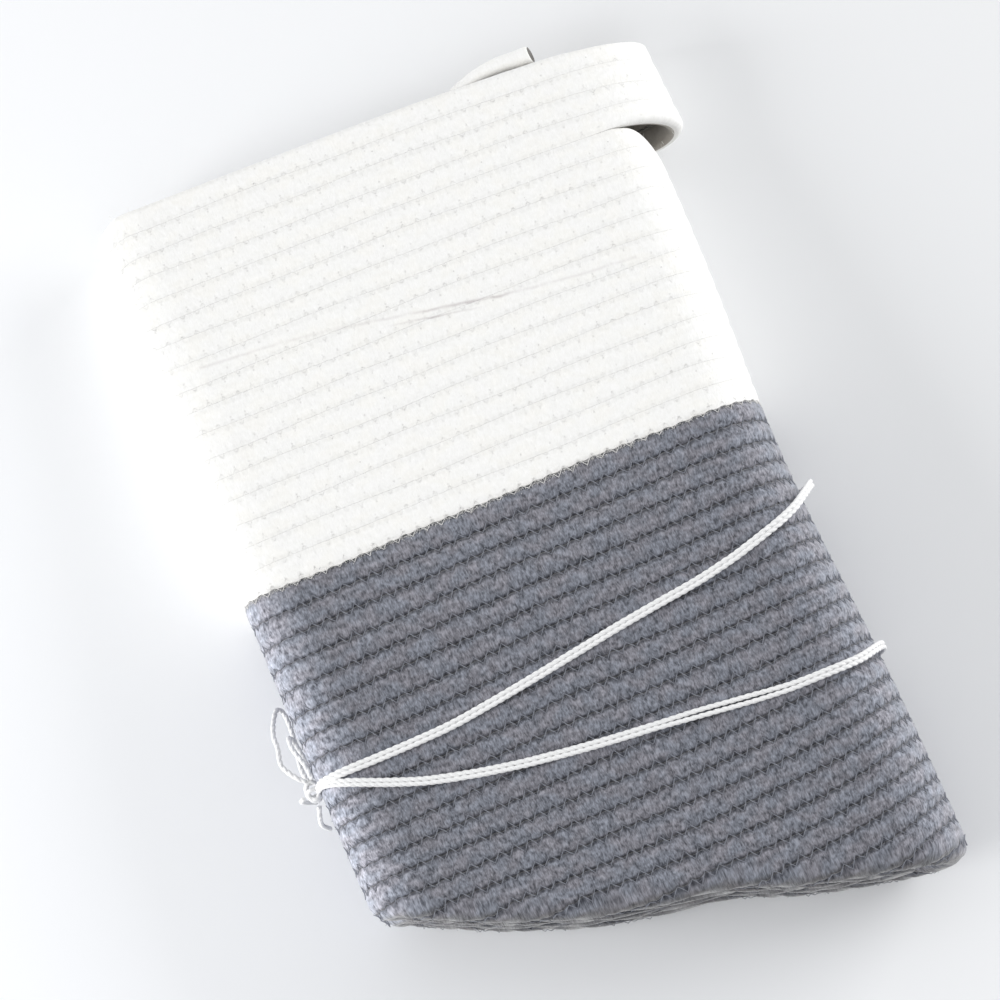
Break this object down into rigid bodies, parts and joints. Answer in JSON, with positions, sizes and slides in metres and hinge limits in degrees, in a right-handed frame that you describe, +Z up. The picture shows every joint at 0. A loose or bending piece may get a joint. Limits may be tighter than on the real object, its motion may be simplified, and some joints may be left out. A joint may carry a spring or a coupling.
{
  "type": "rope storage basket",
  "caption": "Round storage basket of sewn cotton rope, white over grey, pressed flat, folded double and tied up with cotton string.",
  "frame": {"origin": "on the surface that the bundle lies on, under the middle of the tied bundle without its bow", "axes": "+Z up through the bundle's layers, +Y along the basket's height from its bottom to its rim, +X towards the outer fold that carries the handle"},
  "size_m": [0.2617, 0.397, 0.0689],
  "materials": {
    "white_cotton": "matte",
    "grey_cotton": "matte",
    "white_string": "matte"
  },
  "bodies": {
    "root": {"handle_rows_white": "white_cotton", "wall_rope_white": "white_cotton", "wall_rope_grey": "grey_cotton", "base_rope_grey": "grey_cotton", "rim_rope_end_white": "white_cotton", "tie_upper_strand_1": "white_string", "tie_upper_strand_2": "white_string", "tie_lower_strand_1": "white_string", "tie_lower_strand_2": "white_string", "tie_knot": "white_string", "tie_bow_loop_outer": "white_string", "tie_bow_loop_inner": "white_string", "tie_tail_lower": "white_string", "tie_tail_upper": "white_string"}
  },
  "joints": []
}
